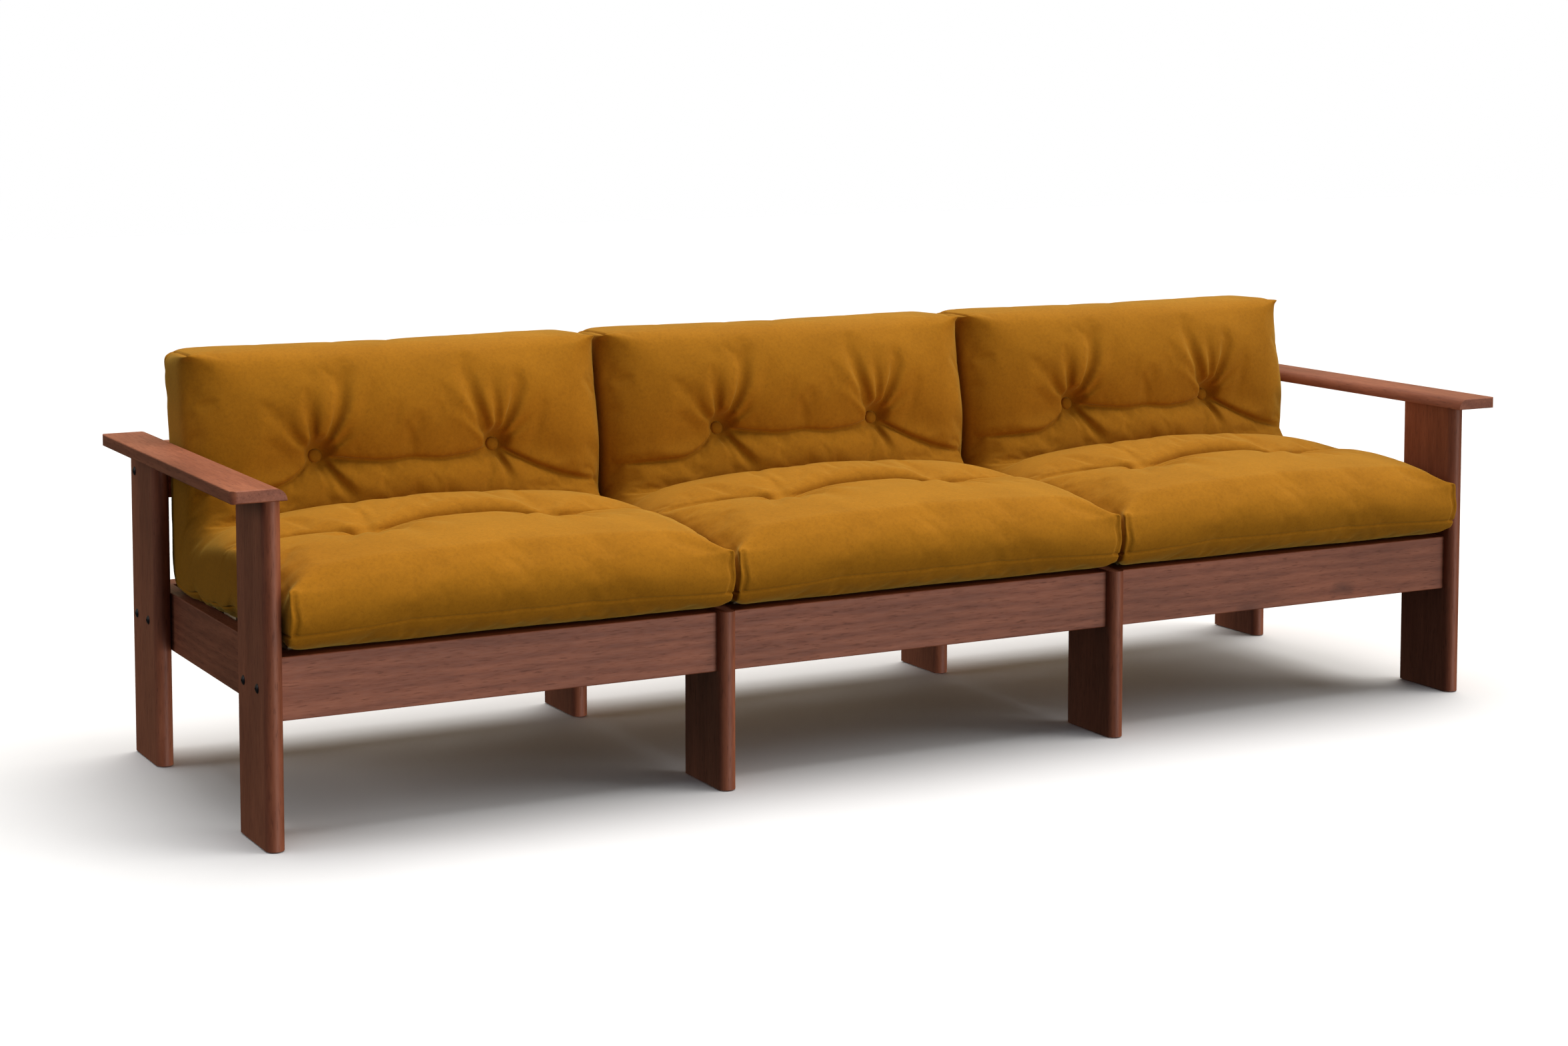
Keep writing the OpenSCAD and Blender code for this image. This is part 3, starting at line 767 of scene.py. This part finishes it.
def narrow_press(x, y, z, marks, on_back, on_seat):
    """How far the seams, darts, furrows and creases press each point in, and their lips out."""
    back_sharpness, seat_sharpness = 0.85, 0.5
    line_w, lip_w = 2.4, 9
    press = SEAM_DEPTH * marks["seam"] + DART_DEPTH * marks["dart"]
    for fold in BACK_FOLDS:
        press += back_sharpness * on_back * furrow(np.stack([x, z], -1), *fold)
    for fold in SEAT_FOLDS:
        press += seat_sharpness * on_seat * furrow(np.stack([x, y], -1), *fold)
    for region, off, depth in (
        (on_back, z - curve_of(BACK_CREASE, x, 1), curve_of(BACK_CREASE, x, 2)),
        (on_seat, y - curve_of(SEAT_CREASE, x, 1), curve_of(SEAT_CREASE, x, 2)),
    ):
        press += region * depth * (0.46 * np.exp(-np.abs(off) / line_w) - roll(off, lip_w, 0.40))
    away_from_buttons = np.ones(len(x))
    for side in (-1, 1):
        for region, across, centre in ((on_back, z, BACK_TUFT[1]), (on_seat, y, SEAT_TUFT[0])):
            away = np.hypot(x - side * TUFT_X, across - centre)
            away_from_buttons *= 1 - region * (1 - smooth((away - BUTTON_R) / 22))
    return press * away_from_buttons


def open_round_buttons(points, on_back):
    """Presses the skin back to a cone round each of the back's buttons, so that it doesn't cover them."""
    rim, slope = 1.0, 1.5
    fade_from, fade_over = 18, 14
    for side in (-1, 1):
        foot = np.array([side * TUFT_X, *BACK_TUFT])
        height = (points - foot) @ BACK_OUT
        away = np.linalg.norm(points - foot - height[:, None] * BACK_OUT, axis=1)
        cone = np.maximum(away - BUTTON_R, 0) * slope + rim
        over = np.where(on_back > 0, np.maximum(height - cone, 0), 0)
        points -= (over * (1 - smooth((away - fade_from) / fade_over)))[:, None] * BACK_OUT


def crisp(mesh, marks):
    """Presses the narrow lines into the settled skin: creases, furrows and stitched seams."""
    count = len(mesh.vertices)
    points, normals = np.empty(count * 3), np.empty(count * 3)
    mesh.vertices.foreach_get("co", points)
    mesh.vertex_normals.foreach_get("vector", normals)
    points, normals = points.reshape(-1, 3) / MM, normals.reshape(-1, 3)
    upper = marks["upper"] > 0.99
    on_back = upper * smooth((marks["share"] - FOLD_SHARE - 0.02) / 0.03)
    on_seat = upper * smooth((FOLD_SHARE - 0.02 - marks["share"]) / 0.03)
    points -= narrow_press(*points.T, marks, on_back, on_seat)[:, None] * normals
    open_round_buttons(points, on_back)
    mesh.vertices.foreach_set("co", (points * MM).ravel())
    mesh.update()


def mattress_mesh():
    """One mattress about its own middle, in metres."""
    grid, faces = box_lattice()
    start, share = start_shape(grid)
    start, fixed = sculpt(start, grid, share)
    points = start
    points = settle(start, faces, fixed)
    points = iron(points, start, grid)
    points = trim(points, start)
    mesh = bpy.data.meshes.new("mattress")
    mesh.from_pydata([tuple(p) for p in points * MM], [], faces)
    i, j, k = grid.T
    on_side = (i == 0) | (i == CELLS_ACROSS)
    beside = (i == 1) | (i == CELLS_ACROSS - 1)
    on_end = (j == 0) | (j == CELLS_ALONG)
    marks = {
        "share": share,
        "upper": k == CELLS_UP,
        "seam": (on_side | on_end) & (k == SEAM_ROW),
        "dart": beside & on_end & (k >= SEAM_ROW),
        "line": (k == CELLS_UP) & ((j == BACK_ROW) | (j == SEAT_ROW)) & (np.abs(start[:, 0]) < 350),
    }
    keep_sharp(mesh, ((marks["seam"], k), (marks["dart"], i), (marks["line"], j)))
    fine, marks = refine(mesh, marks)
    crisp(fine, marks)
    fine.polygons.foreach_set("use_smooth", [True] * len(fine.polygons))
    return fine


# ---- Covered buttons ----

BUTTON_H = 8.0
# Radius and height, from near the crown's middle down to the sole's edge
BUTTON_PROFILE = [
    (3, 7.9), (6, 7.3), (8.6, 6.2), (10.6, 4.6), (11.8, 2.8), (BUTTON_R, 1.4), (11.2, 0.2),
]
PLEATS = 16
PLEAT_SHARE = 0.02


def button_places():
    """Foot and outward direction of each covered button, about the mattress's middle, in millimetres."""
    out = Vector(BACK_OUT)
    places = []
    for side in (-1, 1):
        back = Vector((side * TUFT_X, *BACK_TUFT))
        places.append((back, out))
        places.append((back - CORD_L * out, -out))
        places.append((Vector((side * TUFT_X, *SEAT_TUFT)), Vector((0, 0, 1))))
        places.append((Vector((side * TUFT_X, SEAT_TUFT[0], FOOT_Z + REAR_DIMPLE)), Vector((0, 0, -1))))
    return places


def buttons_mesh():
    """Domes with the cloth gathered in pleats round their rims."""
    vertices, faces = [], []
    turns = 48
    for foot, out in button_places():
        outwards = out.to_track_quat("Z", "Y").to_matrix()
        first = len(vertices)
        for radius, height in BUTTON_PROFILE:
            for n in range(turns):
                angle = 2 * math.pi * n / turns
                pleat = PLEAT_SHARE * math.cos(PLEATS * angle) * (1 - height / BUTTON_H)
                pleated = radius * (1 + pleat)
                local = Vector((pleated * math.cos(angle), pleated * math.sin(angle), height))
                vertices.append((foot + outwards @ local) * MM)
        last = first + (len(BUTTON_PROFILE) - 1) * turns
        for ring in range(first, last, turns):
            for n in range(turns):
                a, b = ring + n, ring + (n + 1) % turns
                faces.append((a, a + turns, b + turns, b))
        crown, sole = len(vertices), len(vertices) + 1
        vertices.append((foot + out * BUTTON_H) * MM)
        vertices.append(foot * MM)
        for n in range(turns):
            faces.append((crown, first + n, first + (n + 1) % turns))
            faces.append((sole, last + (n + 1) % turns, last + n))
    mesh = bpy.data.meshes.new("covered_buttons")
    mesh.from_pydata(vertices, [], faces)
    mesh.polygons.foreach_set("use_smooth", [True] * len(mesh.polygons))
    return mesh


def lay_mattresses():
    """One mattress and its covered buttons in each bay. The three share their meshes."""
    cloth = suede("mustard_suede")
    skin, buttons = mattress_mesh(), buttons_mesh()
    skin.materials.append(cloth)
    buttons.materials.append(cloth)
    for bay in BAYS:
        low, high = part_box("mattress_cover_" + bay)
        mattress = bpy.data.objects.new("futon_" + bay, skin)
        knobs = bpy.data.objects.new("covered_buttons_" + bay, buttons)
        for piece in (mattress, knobs):
            bpy.context.scene.collection.objects.link(piece)
            piece.location.x = (low.x + high.x) / 2
            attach(piece, "mattress_" + bay)
        inside = [kind + bay for kind in ("mattress_cover_", "seat_core_", "back_core_", "tuft_cords_")]
        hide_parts(*inside)
        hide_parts("tuft_buttons_" + bay)


# ---- Stage ----


def lay_floor():
    """White floor that takes shadows, but sends no light or reflection back to the sofa."""
    material, tree, shader = new_material("studio_floor")
    colour = ramp(tree, noise(tree, mapped(tree), 3), [(0.3, grey(0.84)), (0.7, grey(0.86))])
    tree.links.new(colour, shader.inputs["Base Color"])
    shader.inputs["Roughness"].default_value = 0.8
    mesh = bpy.data.meshes.new("floor")
    size = 14
    corners = [(-size, -size, 0), (size, -size, 0), (size, size, 0), (-size, size, 0)]
    mesh.from_pydata(corners, [], [(0, 1, 2, 3)])
    mesh.materials.append(material)
    floor = bpy.data.objects.new("floor", mesh)
    bpy.context.scene.collection.objects.link(floor)
    # It mustn't whiten the sofa from below, or block the low front sun from just below the horizon
    floor.visible_diffuse = False
    floor.visible_glossy = False
    floor.visible_shadow = False


def soft_sun(name, direction, spread, strength):
    """Even light from that direction, as from a large distant softbox. The spread is in degrees."""
    light = bpy.data.lights.new(name, "SUN")
    light.angle = math.radians(spread)
    light.energy = strength
    lamp = bpy.data.objects.new(name, light)
    lamp.rotation_euler = Vector(direction).to_track_quat("Z", "Y").to_euler()
    bpy.context.scene.collection.objects.link(lamp)


def studio_world():
    """White behind the sofa, and a dim room that is darker and cooler on the left than on the right."""
    world = bpy.data.worlds.new("studio")
    world.use_nodes = True
    tree = world.node_tree
    room = tree.nodes["Background"]
    coords = add(tree, "ShaderNodeTexCoord")
    turn = {"Rotation": (0, 0, math.radians(-40))}
    turned = add(tree, "ShaderNodeMapping", turn, vector_type="NORMAL")
    parts = add(tree, "ShaderNodeSeparateXYZ")
    tree.links.new(coords.outputs["Generated"], turned.inputs["Vector"])
    tree.links.new(turned.outputs["Vector"], parts.inputs[0])

    def spread(axis, values):
        made = add(tree, "ShaderNodeMapRange", values)
        tree.links.new(parts.outputs[axis], made.inputs["Value"])
        return made.outputs["Result"]

    side = spread("X", {"From Min": -1.0, "From Max": 1.0, "To Min": 0.14, "To Max": 0.42})
    above = spread("Z", {"From Min": -0.25, "From Max": 0.15, "To Min": 0.25, "To Max": 1.0})
    strength = add(tree, "ShaderNodeMath", operation="MULTIPLY")
    tree.links.new(side, strength.inputs[0])
    tree.links.new(above, strength.inputs[1])
    tree.links.new(strength.outputs[0], room.inputs["Strength"])
    across = spread("X", {"From Min": -1.0, "From Max": 1.0})
    tint = ramp(tree, across, [(0.2, (0.8, 0.95, 1.15)), (0.7, (1.0, 0.76, 0.46))])
    tree.links.new(tint, room.inputs["Color"])

    white = add(tree, "ShaderNodeBackground", {"Color": (1, 1, 1, 1), "Strength": 1.0})
    rays = add(tree, "ShaderNodeLightPath")
    both = add(tree, "ShaderNodeMixShader")
    tree.links.new(rays.outputs["Is Camera Ray"], both.inputs[0])
    tree.links.new(room.outputs[0], both.inputs[1])
    tree.links.new(white.outputs[0], both.inputs[2])
    tree.links.new(both.outputs[0], tree.nodes["World Output"].inputs["Surface"])
    return world


def light_studio():
    soft_sun("overhead", (0.2, 0.10, 1.0), 60, 3.2)
    soft_sun("key_right", (0.95, -0.55, 0.75), 35, 0.8)
    soft_sun("low_front", (0.40, -1.0, -0.15), 40, 1.3)
    soft_sun("fill_left", (-1.0, 0.30, 0.45), 30, 0.45)
    bpy.context.scene.world = studio_world()
    bpy.context.scene.view_settings.view_transform = "Standard"


def set_camera():
    """The photo's angle, from the front left and a little above."""
    camera = bpy.data.cameras.new("camera")
    camera.lens = 65.675
    camera.sensor_width = 36
    camera.shift_y = -0.15
    camera.clip_start = 0.05
    camera.clip_end = 60
    holder = bpy.data.objects.new("camera", camera)
    holder.location = (-2.519, -4.517, 1.230)
    holder.rotation_euler = Euler((math.radians(90 - 4.77), 0, math.radians(-28.21)))
    bpy.context.scene.collection.objects.link(holder)
    bpy.context.scene.camera = holder


set_camera()
dress_frame()
lay_mattresses()
lay_floor()
light_studio()
